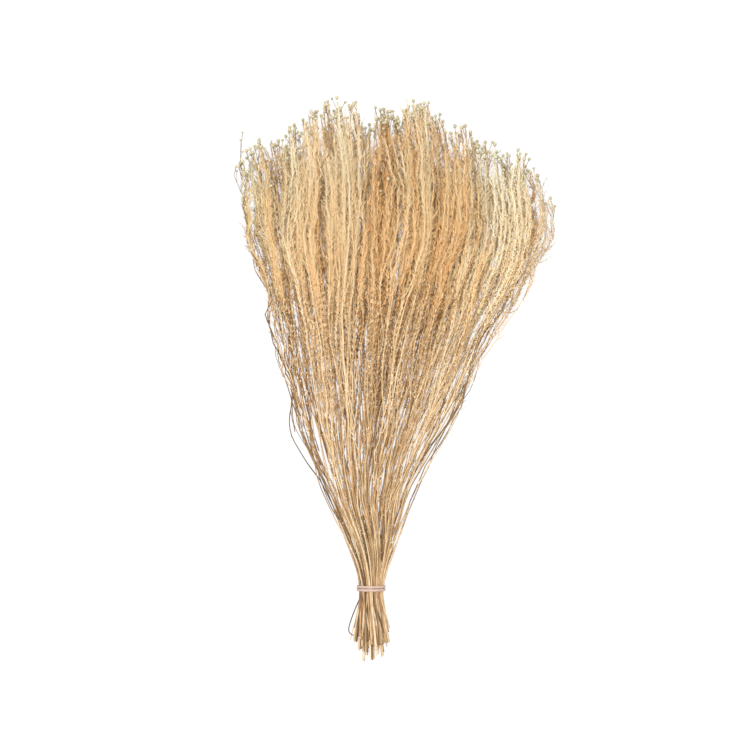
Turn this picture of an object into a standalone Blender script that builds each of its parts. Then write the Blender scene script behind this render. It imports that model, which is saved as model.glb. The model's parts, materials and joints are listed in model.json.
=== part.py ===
"""A tied bunch of dried staavia, lying on its side.

Metres, with +Z up. +Y runs along the stems towards the flower heads and X runs across the fan.
The origin is under the middle of the bunch, on the surface that it lies on.

Every stem keeps one place (u, v) in a unit disc from its cut foot to its tip. The disc is squashed,
widened and turned as it moves along Y, so stems lean and cross in the view from above, and never
run through each other.
"""

import random
from collections import namedtuple

import bpy
import numpy as np

MM = 0.001
TURN = 2 * np.pi

# The bunch
LENGTH = 482.6 * MM
STEM_COUNT = 40

# Wood: radii of a stem below its leaves and among them, and of a shoot
STEM_RADIUS = 1.3 * MM
STEM_CORE = 1.1 * MM
SHOOT_ROOT = 0.8 * MM
SHOOT_CORE = 1.0 * MM
TIP_TAPER = 0.75

# Leaves: how far their tips stand from the middle of the wood and above their own whorl, the
# whorls on a stem and on a shoot, and how much closer whorls stand towards the tip
STEM_LEAF_REACH = 3.0 * MM
SHOOT_LEAF_REACH = 2.6 * MM
LEAF_RISE = 2.0 * MM
STEM_WHORLS = 5
SHOOT_WHORLS = 3
CROWDING = 1.4

# Flower heads
HEAD_RADIUS = 2.0 * MM
HEAD_LENGTH = 3.6 * MM
HEAD_WIDEST = 0.45
PEDICEL_RADIUS = 0.5 * MM
PEDICEL_LENGTH = 4.0 * MM

# Shoots: where along Y they fork off, how long the wood stays bare, how far a shoot ends below
# its stem's tip, and how far shoots lie from their stem in the unit disc
SHOOTS = 3
SHOOTS_FROM = -85 * MM
SHOOTS_UP_TO = -25 * MM
BARE_FORK = 24 * MM
BARE_SHARE = 0.3
SHOOT_DROP = (2, 34)
SHOOT_SPREAD = 70 * MM
SHOOT_ACROSS = 0.098
SHOOT_DEEP = 0.062

# The tie, a rubber band that goes twice round
TIE_ALONG = -178 * MM
BAND_WIDTH = 2.4 * MM
BAND_THICKNESS = 1.3 * MM
BAND_GAP = 0.25 * MM
TIE_CLEARANCE = 0.45 * MM
TIE_STEPS = 44
TIE_SIDES = 6
TIE_CROSSING = 0.045

# Cross-sections of the bunch, in mm: place along Y, centre across X, half width,
# centre height, reach above the centre, and reach below it.
SECTIONS = np.array((
    (-241, -20, 14.5, 14.4, 14.0, 14.0),
    (-205, -20, 12.0, 14.5, 12.0, 12.0),
    (-178, -20.4, 9.4, 14.8, 9.4, 9.4),
    (-140, -20, 19.0, 16.8, 14.5, 13.0),
    (-101, -22, 33.0, 20.0, 20.5, 16.5),
    (-63, -21, 49.0, 24.3, 26.0, 20.5),
    (-25, -17, 65.0, 28.6, 31.5, 24.5),
    (26, -11, 84.0, 34.0, 37.5, 29.5),
    (77, -2.5, 102.0, 40.4, 42.5, 33.2),
    (128, 1, 117.0, 45.1, 45.0, 37.4),
    (179, -1.5, 118.0, 46.7, 45.5, 39.6),
    (241, -8, 117.0, 46.6, 45.5, 40.0),
)) * MM

# The outline of the tips, in mm: place across X, and how far the highest tip there reaches.
TIPS = np.array((
    (-136, 184), (-122, 192), (-110, 213), (-92, 205), (-65, 239), (-34, 224), (0, 229),
    (30, 241), (47, 213), (75, 211), (92, 192), (112, 181), (124, 160), (134, 150),
)) * MM

# The fibres turn below the tie, and past it come free over a length and sway in long waves:
# how far in the unit disc, how long each wave is across and up, and how much it lags over the disc
TWIST = -1.0
TWIST_FROM = -95 * MM
TWIST_OVER = 146 * MM
FREE_OVER = 150 * MM
SWAY = 0.03
SWAY_WAVES = (310 * MM, 230 * MM)
SWAY_LAGS = (0.6, 0.5)
LEAST_CHORD = 0.12

# Each stem's own small sway, across and up
OWN_SWAY = 0.014
OWN_WAVES = (176 * MM, 226 * MM)

# How places in the unit disc push each other apart: spacing, share of a step, steps
SPACING = 1.06
PUSH = 0.25
PUSHES = 200

# Uneven ends, in mm: the feet's spread, how much higher the outer feet are cut, the tips' spread,
# and how much shorter some stems on the upper side are, which part of them, and from what height
FOOT_SPREAD = 14
OUTER_FEET = 10
TIP_SPREAD = 16
SHORTER = (35, 95)
SHORTER_SHARE = 0.4
SHORTER_ABOVE = 0.15
TIPS_READ_AT = 200 * MM

# The outermost stem on the left bows out here, and carries two bare wisps: where each starts
# and ends along Y, in mm, and how far out it stands
BOW = 11 * MM
BOW_AT = -48 * MM
BOW_OVER = 33 * MM
WISPS = ((-30, 213, -0.07), (-12, 184, -0.1))
WISP_SIZE = 0.5

# The dead twig bent back beside the feet, in mm: place along Y, and how far left of its stem.
BENT_TWIG = ((-186, 0.3), (-193, -2.2), (-201, -4.6), (-209, -6.8), (-214, -7.6), (-217, -6), (-219, -2.2))
BENT_TWIG_RADIUS = 0.5 * MM
FEET_READ_AT = -205 * MM

# The places along Y of a stem's bare rings between its foot and its first fork
BARE_RINGS = (TIE_ALONG, -150 * MM, -112 * MM)

# Colours
STRAW = np.array((0.66, 0.46, 0.27))
TONES = (0.88, 1.08)
BAND_PINK = (0.78, 0.56, 0.44)
SHARP_ANGLE = 0.7

# Seeds
ENDS_SEED = 51
STEM_SEED = 700

Stem = namedtuple("Stem", "u v foot tip phase bow across deep shoots")
Shoot = namedtuple("Shoot", "start tip across deep size")


def smooth(t):
    """0 up to t = 0, 1 from t = 1, and an even S between."""
    t = np.clip(t, 0, 1)
    return t * t * (3 - 2 * t)


def section(y, column):
    """The cubic curve through one column of SECTIONS, its slopes taken from the points beside each."""
    at = SECTIONS[:, 0]
    value = SECTIONS[:, column]
    slope = np.gradient(value, at)
    i = np.clip(np.searchsorted(at, y) - 1, 0, len(at) - 2)
    gap = at[i + 1] - at[i]
    t = np.clip((y - at[i]) / gap, 0, 1)
    start = value[i] * (1 + 2 * t) * (1 - t) ** 2 + slope[i] * gap * t * (1 - t) ** 2
    end = value[i + 1] * t * t * (3 - 2 * t) - slope[i + 1] * gap * t * t * (1 - t)
    return start + end


def fibre(u, v, y):
    """The points at y of the fibre with the place (u, v): turned, swayed, and flat underneath."""
    turn = TWIST * smooth((TWIST_FROM - y) / TWIST_OVER)
    free = smooth((y - TIE_ALONG) / FREE_OVER)
    across = u * np.cos(turn) - v * np.sin(turn)
    up = u * np.sin(turn) + v * np.cos(turn)
    across = across + SWAY * free * np.sin(TURN * (y / SWAY_WAVES[0] + SWAY_LAGS[0] * up))
    up = up + SWAY * free * np.sin(TURN * (y / SWAY_WAVES[1] + SWAY_LAGS[1] * across))
    round_chord = np.sqrt(np.clip(1 - across ** 2, LEAST_CHORD, 1))
    square_chord = np.sqrt(np.clip(1 - across ** 6, LEAST_CHORD, 1))
    below = section(y, 5) * (1 - free + free * square_chord / round_chord)
    x = section(y, 1) + section(y, 2) * across
    z = section(y, 3) + np.where(up > 0, section(y, 4), below) * up
    return np.stack((x, np.broadcast_to(y, x.shape), z), axis=-1)


def even_places(count):
    """Evenly spaced places in the unit disc: a sunflower spiral, then neighbours push apart."""
    k = np.arange(count)
    radius = np.sqrt((k + 0.5) / count)
    angle = k * np.pi * (3 - np.sqrt(5))
    places = np.stack((radius * np.cos(angle), radius * np.sin(angle)), axis=1)
    spacing = SPACING * np.sqrt(TURN / np.sqrt(3) / count)
    itself = 9 * np.eye(count)
    for _ in range(PUSHES):
        apart = places[:, None] - places[None]
        distance = np.linalg.norm(apart, axis=2) + itself
        push = np.clip(spacing - distance, 0, None) / distance
        places = places + PUSH * (push[..., None] * apart).sum(axis=1)
        places = places / np.maximum(np.linalg.norm(places, axis=1, keepdims=True), 1)
    return places


def stem_shoots(draw, tip, count):
    """The stem's own offset, and its shoots, side by side across its share of the bunch.

    They stand a little up and a little down in turn. The stem itself takes the middle place.
    """
    offsets = []
    for k, slot in enumerate(np.linspace(-1, 1, count + 1)):
        deep = (-1) ** k * draw.uniform(0.8, 1)
        offsets.append((slot * draw.uniform(0.92, 1) * SHOOT_ACROSS, deep * SHOOT_DEEP))
    own = offsets.pop(len(offsets) // 2)
    shoots = []
    for across, deep in offsets:
        start = draw.uniform(SHOOTS_FROM, SHOOTS_UP_TO)
        end = tip - draw.uniform(*SHOOT_DROP) * MM
        shoots.append(Shoot(start, end, across, deep, 1))
    return own, shoots


def stem_ends(places, across):
    """Where each stem is cut and where it ends: uneven feet, and tips that follow TIPS.

    Some stems on the upper side are shorter, and show their heads in front of the others.
    """
    draw = random.Random(ENDS_SEED)
    feet = []
    drops = []
    for u, v in places:
        feet.append(draw.uniform(0, FOOT_SPREAD) * MM + OUTER_FEET * MM * (u * u + v * v) ** 2)
        drop = draw.uniform(0, TIP_SPREAD)
        if v > SHORTER_ABOVE and draw.random() < SHORTER_SHARE:
            drop += draw.uniform(*SHORTER)
        drops.append(drop * MM)
    tips = np.interp(across, TIPS[:, 0], TIPS[:, 1]) - drops
    return np.array(feet) - min(feet) - LENGTH / 2, tips - tips.max() + LENGTH / 2


def stem_plan():
    """The stems, each with its side shoots, drawn with one seed for each stem."""
    stems = []
    places = even_places(STEM_COUNT)
    top = fibre(places[:, 0], places[:, 1], np.full(STEM_COUNT, TIPS_READ_AT))
    outermost = int(np.argmin(top[:, 0]))
    feet, tips = stem_ends(places, top[:, 0])
    for i, (u, v) in enumerate(places):
        draw = random.Random(STEM_SEED + i)
        own, shoots = stem_shoots(draw, tips[i], SHOOTS)
        bow = 0.0
        if i == outermost:
            bow = BOW
            shoots += [Shoot(a * MM, b * MM, across, 0.0, WISP_SIZE) for a, b, across in WISPS]
        stems.append(Stem(u, v, feet[i], tips[i], draw.uniform(0, TURN), bow, *own, shoots))
    return stems


def stem_path(stem, y, across=None, deep=None):
    """Where a stem passes at y, or a shoot of it that has its own offset in the disc."""
    spread = smooth((y - SHOOTS_FROM) / (2 * SHOOT_SPREAD))
    across = stem.across * spread if across is None else across
    deep = stem.deep * spread if deep is None else deep
    sway = OWN_SWAY * smooth((y - TIE_ALONG) / FREE_OVER)
    u = stem.u + across + sway * np.sin(stem.phase + TURN * y / OWN_WAVES[0])
    v = stem.v + deep + sway * np.sin(2 * stem.phase + TURN * y / OWN_WAVES[1])
    path = fibre(u, v, y)
    path[..., 0] -= stem.bow * np.exp(-(((y - BOW_AT) / BOW_OVER) ** 2))
    return path


def shoot_path(stem, shoot, y):
    """A shoot leaves its stem at its start, and lies beside it from SHOOT_SPREAD on."""
    spread = smooth((y - SHOOTS_FROM) / (2 * SHOOT_SPREAD))
    t = np.clip((y - shoot.start) / SHOOT_SPREAD, 0, 1)
    out = t * (2 - t)
    across = stem.across * spread * (1 - out) + shoot.across * out
    deep = stem.deep * spread * (1 - out) + shoot.deep * out
    return stem_path(stem, y, across, deep)


def rings(path, radii, turns, sides):
    """One ring of points round each point of a path, square to it."""
    ahead = np.gradient(path, axis=0)
    ahead /= np.linalg.norm(ahead, axis=1, keepdims=True)
    right = np.array((1.0, 0, 0)) - ahead * ahead[:, :1]
    right /= np.linalg.norm(right, axis=1, keepdims=True)
    up = np.cross(ahead, right)
    angle = turns[:, None] + TURN * np.arange(sides) / sides
    out = np.cos(angle)[..., None] * right[:, None] + np.sin(angle)[..., None] * up[:, None]
    return path[:, None] + radii[:, None, None] * out


def tube_faces(count, sides, leafy):
    """Triangles between neighbouring rings, each ring half a side ahead of or level with the last.

    Between two rings of a leafy stretch, every triangle that stands on the lower ring is drawn out
    into a leaf: three triangles that meet in a tip. The tips are numbered after the rings.
    """
    faces = []
    tip = count * sides
    for k in range(count - 1):
        for j in range(sides):
            a = k * sides + j
            b = k * sides + (j + 1) % sides
            if leafy[k]:
                faces += [(a, b, tip), (b, a + sides, tip), (a + sides, a, tip)]
                tip += 1
            else:
                faces.append((a, b, a + sides))
            faces.append((a + sides, b, b + sides))
    return faces


def new_object(name, points, faces):
    """An object in the scene with a mesh of its own."""
    mesh = bpy.data.meshes.new(name)
    mesh.from_pydata([tuple(p) for p in points], [], faces)
    mesh.validate()
    piece = bpy.data.objects.new(name, mesh)
    bpy.context.scene.collection.objects.link(piece)
    return piece


def closed_tube(name, loops, tip, leaf_tips, leafy):
    """A solid from rings, with a flat foot, a pointed tip and its leaves."""
    count, sides = loops.shape[:2]
    points = np.concatenate((loops.reshape(-1, 3), leaf_tips, tip[None]))
    faces = tube_faces(count, sides, leafy)
    faces.append(tuple(range(sides))[::-1])
    last = (count - 1) * sides
    for j in range(sides):
        faces.append((last + j, last + (j + 1) % sides, len(points) - 1))
    return new_object(name, points, faces)


def leafy_profile(start, tip, whorls, core, size):
    """The rings of a leafy stretch: a slim core with whorls of leaves, and a flower head on its pedicel.

    Gives each ring's place, radius and turn in half sides, and whether leaves grow above it.
    """
    neck = tip - (HEAD_LENGTH + PEDICEL_LENGTH) * size
    rise = 1 - np.linspace(1, 0, whorls + 1) ** CROWDING
    head = tip - np.array((1, HEAD_WIDEST)) * HEAD_LENGTH * size
    y = np.append(start + rise * (neck - start), head)
    slimming = core * np.linspace(1, TIP_TAPER, whorls + 1)
    radius = np.append(slimming, (PEDICEL_RADIUS, HEAD_RADIUS)) * size
    order = np.arange(whorls + 3)
    return y, radius, order, order < whorls


def leafy_solid(name, path_at, profile, tip, reach, sides):
    """A stem or shoot: its tube of rings, with each leaf's tip just above the next ring."""
    y, radius, half_sides, leafy = profile
    turns = half_sides * np.pi / sides
    loops = rings(path_at(y), radius, turns, sides)
    above = rings(path_at(y + LEAF_RISE), np.full(len(y), reach), turns, sides)
    leaf_tips = above[1:][leafy[:-1]].reshape(-1, 3)
    return closed_tube(name, loops, path_at(np.array(tip)), leaf_tips, leafy)


def bow_rings(forks):
    """The extra rings that carry the bowed stem round its bend, clear of those at its forks."""
    bends = BOW_AT + BOW_OVER * np.linspace(-1.2, 1.2, 7)
    return [b for b in bends if min(abs(b - f) for f in forks) > 5 * MM]


def main_stem(name, stem):
    """The stem from its flat cut foot, bare up to its last fork and leafy above.

    A ring at each fork keeps the shoots' roots inside it.
    """
    forks = sorted(shoot.start for shoot in stem.shoots)
    leaves_from = forks[-1] + BARE_FORK
    if stem.bow:
        forks = sorted(forks + bow_rings(forks))
    bare = np.array((stem.foot, *BARE_RINGS, *forks))
    slimming = smooth((bare - TIE_ALONG) / (leaves_from - TIE_ALONG))
    y, radius, order, leafy = leafy_profile(leaves_from, stem.tip, STEM_WHORLS, STEM_CORE, 1)
    profile = (
        np.append(bare, y),
        np.append(STEM_RADIUS + (STEM_CORE - STEM_RADIUS) * slimming, radius),
        np.append(np.zeros(len(bare)), order),
        np.append(np.zeros(len(bare), bool), leafy),
    )
    return leafy_solid(name, lambda at: stem_path(stem, at), profile, stem.tip, STEM_LEAF_REACH, 4)


def side_shoot(name, stem, shoot):
    """A shoot, sunk in its stem at its root, bare for a while and leafy above."""
    leaves_from = shoot.start + BARE_SHARE * (shoot.tip - shoot.start)
    y, radius, order, leafy = leafy_profile(
        leaves_from, shoot.tip, SHOOT_WHORLS, SHOOT_CORE, shoot.size
    )
    profile = (
        np.append(shoot.start + np.array((0, BARE_FORK)), y),
        np.append(np.full(2, SHOOT_ROOT * shoot.size), radius),
        np.append((-2, -1), order),
        np.append((False, False), leafy),
    )
    reach = SHOOT_LEAF_REACH * shoot.size
    return leafy_solid(name, lambda at: shoot_path(stem, shoot, at), profile, shoot.tip, reach, 3)


def bent_twig(name, stem):
    """The thin dead twig that leaves its stem below the tie and bends back to it."""
    y, left = np.array(BENT_TWIG).T * MM
    path = stem_path(stem, y)
    path[:, 0] += left
    radii = np.linspace(1, 0.8, len(y)) * BENT_TWIG_RADIUS
    loops = rings(path, radii, np.zeros(len(y)), 3)[:-1]
    return closed_tube(name, loops, path[-1], np.zeros((0, 3)), np.zeros(len(loops), bool))


def grown_together(stem, shoots):
    """The stem and its shoots as one body, by a single union on a collection."""
    twigs = bpy.data.collections.new(stem.name + "_twigs")
    bpy.context.scene.collection.children.link(twigs)
    for shoot in shoots:
        bpy.context.scene.collection.objects.unlink(shoot)
        twigs.objects.link(shoot)
    join = stem.modifiers.new("Join", "BOOLEAN")
    join.operation = "UNION"
    join.operand_type = "COLLECTION"
    join.collection = twigs
    join.solver = "EXACT"
    bpy.context.view_layer.update()
    graph = bpy.context.evaluated_depsgraph_get()
    whole = bpy.data.meshes.new_from_object(stem.evaluated_get(graph))
    stem.modifiers.clear()
    stem.data = whole
    for shoot in shoots:
        bpy.data.objects.remove(shoot)
    bpy.data.collections.remove(twigs)


def material(name, colour, roughness):
    """A plain material with no metal in it."""
    finish = bpy.data.materials.new(name)
    finish.use_nodes = True
    shader = finish.node_tree.nodes["Principled BSDF"]
    shader.inputs["Base Color"].default_value = (*colour, 1)
    shader.inputs["Roughness"].default_value = roughness
    shader.inputs["Metallic"].default_value = 0
    return finish


def stem_material(name, draw):
    """Straw to cream, a little different on each stem."""
    return material(name, STRAW * draw.uniform(*TONES), 0.85)


def tie_path(steps):
    """A band that goes twice round: its two turns lie side by side, and swap sides at the bottom.

    There one turn passes over the other. Gives the band's middle line and its outward directions.
    """
    t = np.arange(steps) / steps
    angle = 2 * TURN * t + np.pi / 2
    side = np.tanh(4 * np.cos(TURN * t)) * (BAND_WIDTH + BAND_GAP) / 2
    over = (BAND_THICKNESS + BAND_GAP) * np.exp(-(((t - 0.25) / TIE_CROSSING) ** 2))
    x, half_width, z = (section(np.array(TIE_ALONG), column) for column in (1, 2, 3))
    radius = half_width + STEM_RADIUS + TIE_CLEARANCE + BAND_THICKNESS / 2 + over
    out = np.stack((np.cos(angle), np.zeros(steps), np.sin(angle)), axis=1)
    path = np.array((x, TIE_ALONG, z)) + radius[:, None] * out
    path[:, 1] += side
    return path, out


def tie_band():
    """The band as one closed ring with a flat oval section."""
    path, out = tie_path(TIE_STEPS)
    corner = TURN * (np.arange(TIE_SIDES) + 0.5) / TIE_SIDES
    thick = np.sin(corner)[None, :, None] * out[:, None] * BAND_THICKNESS / 2
    wide = np.cos(corner)[None, :, None] * np.array((0, 1.0, 0)) * BAND_WIDTH / 2
    points = (path[:, None] + thick + wide).reshape(-1, 3)
    faces = []
    for k in range(TIE_STEPS):
        after = (k + 1) % TIE_STEPS
        for j in range(TIE_SIDES):
            beside = (j + 1) % TIE_SIDES
            near = (k * TIE_SIDES + j, after * TIE_SIDES + j)
            far = (after * TIE_SIDES + beside, k * TIE_SIDES + beside)
            faces.append(near + far)
    band = new_object("tie_band", points, faces)
    band.data.materials.append(material("band_rubber", BAND_PINK, 0.6))
    band.data.shade_smooth()
    return band


def leafy_stem(number, stem, has_bent_twig):
    """One cut stem with its shoots, leaves and flower heads, as one body."""
    name = f"stem_{number:02d}"
    trunk = main_stem(name, stem)
    twigs = [side_shoot(f"{name}_shoot_{k}", stem, s) for k, s in enumerate(stem.shoots)]
    if has_bent_twig:
        twigs.append(bent_twig(f"{name}_bent_twig", stem))
    grown_together(trunk, twigs)
    trunk.data.materials.clear()
    trunk.data.materials.append(stem_material(name, random.Random(number)))
    trunk.data.shade_smooth()
    trunk.data.set_sharp_from_angle(angle=SHARP_ANGLE)
    return trunk


def main():
    for old in list(bpy.data.objects):
        bpy.data.objects.remove(old)
    stems = stem_plan()
    leftmost = min(stems, key=lambda s: stem_path(s, np.array(FEET_READ_AT))[0])
    for number, stem in enumerate(stems, 1):
        leafy_stem(number, stem, stem is leftmost)
    tie_band()


main()
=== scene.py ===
# %% [markdown]
# # A tied bunch of dried staavia
#
# Staavia is a heath-like shrub with hundreds of fine upright twigs. Each twig is clothed in short
# needle leaves and ends in a few small round flower heads. Forty cut stems are gathered here, held
# by a rubber band near their feet, and laid on a pale table.
#
# The solids of the stems and the band come from the frame. Each is dressed in turn: the solid
# says where the stem runs, and the fine wood, the leaves and the heads grow along that same line.

# %% Load the solids
import json
import random
from collections import namedtuple

import bpy
import numpy as np
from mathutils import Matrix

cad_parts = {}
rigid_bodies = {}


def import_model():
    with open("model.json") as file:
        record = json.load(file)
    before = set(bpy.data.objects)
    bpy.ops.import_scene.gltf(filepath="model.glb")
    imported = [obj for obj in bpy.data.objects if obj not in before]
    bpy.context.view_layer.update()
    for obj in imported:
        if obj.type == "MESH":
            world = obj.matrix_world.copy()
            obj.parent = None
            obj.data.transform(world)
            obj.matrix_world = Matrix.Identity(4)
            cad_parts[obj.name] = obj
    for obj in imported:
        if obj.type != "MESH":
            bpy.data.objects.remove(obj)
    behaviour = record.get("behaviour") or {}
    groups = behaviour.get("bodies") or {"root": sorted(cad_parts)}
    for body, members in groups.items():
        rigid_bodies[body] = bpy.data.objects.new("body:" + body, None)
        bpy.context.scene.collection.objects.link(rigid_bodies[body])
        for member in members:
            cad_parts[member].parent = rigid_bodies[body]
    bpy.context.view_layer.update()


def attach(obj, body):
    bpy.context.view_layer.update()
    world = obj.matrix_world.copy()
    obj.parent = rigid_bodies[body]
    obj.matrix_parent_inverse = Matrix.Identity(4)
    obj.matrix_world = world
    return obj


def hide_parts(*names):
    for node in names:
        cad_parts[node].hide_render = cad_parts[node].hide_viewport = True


MM = 0.001
TURN = 2 * np.pi

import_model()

# %% [markdown]
# ## The camera
#
# The bunch lies down and is seen from straight above, so that its feet point to the bottom of the
# picture and its heads to the top. A long lens far away keeps near and far twigs almost the same
# size, as a product photograph does. A closer camera with a short lens would swell the top twigs.

# %% A camera above the bunch
LENGTH = 482.6 * MM
PICTURE_SIDE = 750
LENGTH_IN_PIXELS = 568
PIXEL = LENGTH / LENGTH_IN_PIXELS
PICTURE_CENTRE = (-17 * MM, 5.1 * MM, 46 * MM)
LENS = 150.0


def placed(name, data):
    """A new object that holds data, put in the scene."""
    new = bpy.data.objects.new(name, data)
    bpy.context.scene.collection.objects.link(new)
    return new


camera_data = bpy.data.cameras.new("camera")
camera_data.lens = LENS
camera = placed("camera", camera_data)
bpy.context.scene.camera = camera
half_view = camera_data.sensor_width / 2 / LENS
camera_height = PICTURE_SIDE * PIXEL / 2 / half_view
camera.location = np.array(PICTURE_CENTRE) + (0, 0, camera_height)
print("camera is", round(camera_height, 2), "m above the bunch")

# %% [markdown]
# ## Where the stems run
#
# A tied bunch has an order that random lines lack: a stem that is on the left at the band stays on
# the left. So every stem keeps one place (u, v) in a unit disc, and the disc is squashed, widened
# and turned as it moves along Y. Fibres then lean and cross in the view, and never meet.
# These are the same rules and sizes as those of the solids, so the two agree.

# %% Sizes of the bunch
STEM_COUNT = 40
SHOOTS = 3
SHOOTS_FROM = -85 * MM
SHOOTS_UP_TO = -25 * MM
SHOOT_DROP = (2, 34)
SHOOT_SPREAD = 70 * MM
SHOOT_ACROSS = 0.098
SHOOT_DEEP = 0.062
TIE_ALONG = -178 * MM

# Place along Y, centre across X, half width, centre height, reach above and below, in mm
SECTIONS = np.array((
    (-241, -20, 14.5, 14.4, 14.0, 14.0),
    (-205, -20, 12.0, 14.5, 12.0, 12.0),
    (-178, -20.4, 9.4, 14.8, 9.4, 9.4),
    (-140, -20, 19.0, 16.8, 14.5, 13.0),
    (-101, -22, 33.0, 20.0, 20.5, 16.5),
    (-63, -21, 49.0, 24.3, 26.0, 20.5),
    (-25, -17, 65.0, 28.6, 31.5, 24.5),
    (26, -11, 84.0, 34.0, 37.5, 29.5),
    (77, -2.5, 102.0, 40.4, 42.5, 33.2),
    (128, 1, 117.0, 45.1, 45.0, 37.4),
    (179, -1.5, 118.0, 46.7, 45.5, 39.6),
    (241, -8, 117.0, 46.6, 45.5, 40.0),
)) * MM
ALONG, CENTRE, HALF_WIDTH, HEIGHT, ABOVE, BELOW = range(6)

# Place across X, and how far the highest tip there reaches, in mm
TIPS = np.array((
    (-136, 184), (-122, 192), (-110, 213), (-92, 205), (-65, 239), (-34, 224), (0, 229),
    (30, 241), (47, 213), (75, 211), (92, 192), (112, 181), (124, 160), (134, 150),
)) * MM

TWIST = -1.0
TWIST_FROM = -95 * MM
TWIST_OVER = 146 * MM
FREE_OVER = 150 * MM
SWAY = 0.03
SWAY_WAVES = (310 * MM, 230 * MM)
SWAY_LAGS = (0.6, 0.5)
LEAST_CHORD = 0.12
OWN_SWAY = 0.014
OWN_WAVES = (176 * MM, 226 * MM)


# %% A place in the disc becomes a place in the bunch
def smooth(t):
    """0 up to t = 0, 1 from t = 1, and t²(3 − 2t) between."""
    t = np.clip(t, 0, 1)
    return t * t * (3 - 2 * t)


def section(y, column):
    """The cubic curve through one column of SECTIONS.

    Between two rows it is a(1 + 2t)(1 − t)² + b t²(3 − 2t), plus the slopes' own terms.
    """
    at = SECTIONS[:, ALONG]
    value = SECTIONS[:, column]
    slope = np.gradient(value, at)
    i = np.clip(np.searchsorted(at, y) - 1, 0, len(at) - 2)
    gap = at[i + 1] - at[i]
    t = np.clip((y - at[i]) / gap, 0, 1)
    start = value[i] * (1 + 2 * t) * (1 - t) ** 2 + slope[i] * gap * t * (1 - t) ** 2
    end = value[i + 1] * t * t * (3 - 2 * t) - slope[i + 1] * gap * t * t * (1 - t)
    return start + end


def fibre(u, v, y):
    """x = centre + half width × across, and z = centre + reach × up, at each y.

    (across, up) is (u, v) turned about the middle, plus a long sine wave. Below the middle the
    disc is squared off, because the bunch rests on that side.
    """
    turn = TWIST * smooth((TWIST_FROM - y) / TWIST_OVER)
    free = smooth((y - TIE_ALONG) / FREE_OVER)
    across = u * np.cos(turn) - v * np.sin(turn)
    up = u * np.sin(turn) + v * np.cos(turn)
    across = across + SWAY * free * np.sin(TURN * (y / SWAY_WAVES[0] + SWAY_LAGS[0] * up))
    up = up + SWAY * free * np.sin(TURN * (y / SWAY_WAVES[1] + SWAY_LAGS[1] * across))
    round_chord = np.sqrt(np.clip(1 - across ** 2, LEAST_CHORD, 1))
    square_chord = np.sqrt(np.clip(1 - across ** 6, LEAST_CHORD, 1))
    below = section(y, BELOW) * (1 - free + free * square_chord / round_chord)
    x = section(y, CENTRE) + section(y, HALF_WIDTH) * across
    z = section(y, HEIGHT) + np.where(up > 0, section(y, ABOVE), below) * up
    return np.stack((x, np.broadcast_to(y, x.shape), z), axis=-1)


# %% [markdown]
# The places themselves come from a sunflower spiral, which fills a disc evenly, and neighbours
# that are still too close push each other apart. A square grid would show as rows in the bunch.


# %% Even places in the disc
def even_places(count, pushes=200):
    """Seeds at radius √((k + ½)/n) and angle k × 137.5°, then pushed apart in small steps.

    They stop at 1.06 of the spacing of an even pattern. The 9 keeps a place from pushing itself.
    """
    k = np.arange(count)
    radius = np.sqrt((k + 0.5) / count)
    angle = k * np.pi * (3 - np.sqrt(5))
    places = np.stack((radius * np.cos(angle), radius * np.sin(angle)), axis=1)
    spacing = 1.06 * np.sqrt(TURN / np.sqrt(3) / count)
    itself = 9 * np.eye(count)
    for _ in range(pushes):
        apart = places[:, None] - places[None]
        distance = np.linalg.norm(apart, axis=2) + itself
        push = np.clip(spacing - distance, 0, None) / distance
        places = places + 0.25 * (push[..., None] * apart).sum(axis=1)
        places = places / np.maximum(np.linalg.norm(places, axis=1, keepdims=True), 1)
    return places


# %% The forty stems and their shoots
BOW = 11 * MM
BOW_AT = -48 * MM
BOW_OVER = 33 * MM
FEET_UP = (0, 14)
OUTER_FEET_UP = 10 * MM
TIPS_DOWN = (0, 16)
ON_TOP = 0.15
SHORT_SHARE = 0.4
SHORT_TIPS_DOWN = (35, 95)
TOP_AT = 200 * MM

# Where each bare wisp leaves its stem and where it ends, in mm, and its place across the disc
WISPS = ((-30, 213, -0.07), (-12, 184, -0.1))
WISP_SIZE = 0.5

Stem = namedtuple("Stem", "u v foot tip phase bow across deep shoots")
Shoot = namedtuple("Shoot", "start tip across deep size")


def stem_shoots(draw, tip, count):
    """The stem's own offset in the disc, and its shoots, side by side across its share of it."""
    offsets = []
    for k, slot in enumerate(np.linspace(-1, 1, count + 1)):
        deep = (-1) ** k * draw.uniform(0.8, 1)
        offsets.append((slot * draw.uniform(0.92, 1) * SHOOT_ACROSS, deep * SHOOT_DEEP))
    own = offsets.pop(len(offsets) // 2)
    shoots = []
    for across, deep in offsets:
        start = draw.uniform(SHOOTS_FROM, SHOOTS_UP_TO)
        end = tip - draw.uniform(*SHOOT_DROP) * MM
        shoots.append(Shoot(start, end, across, deep, 1))
    return own, shoots


def stem_ends(places, across):
    """Each stem's cut foot, higher up at the outside, and its tip below the outline of the tips.

    A share of the stems on top is shorter, so that its heads lie on the plumes of the others.
    """
    draw = random.Random(51)
    feet = []
    drops = []
    for u, v in places:
        feet.append(draw.uniform(*FEET_UP) * MM + OUTER_FEET_UP * (u * u + v * v) ** 2)
        drop = draw.uniform(*TIPS_DOWN)
        if v > ON_TOP and draw.random() < SHORT_SHARE:
            drop += draw.uniform(*SHORT_TIPS_DOWN)
        drops.append(drop * MM)
    tips = np.interp(across, TIPS[:, 0], TIPS[:, 1]) - drops
    feet = np.array(feet) - min(feet) - LENGTH / 2
    return feet, tips - tips.max() + LENGTH / 2


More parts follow.
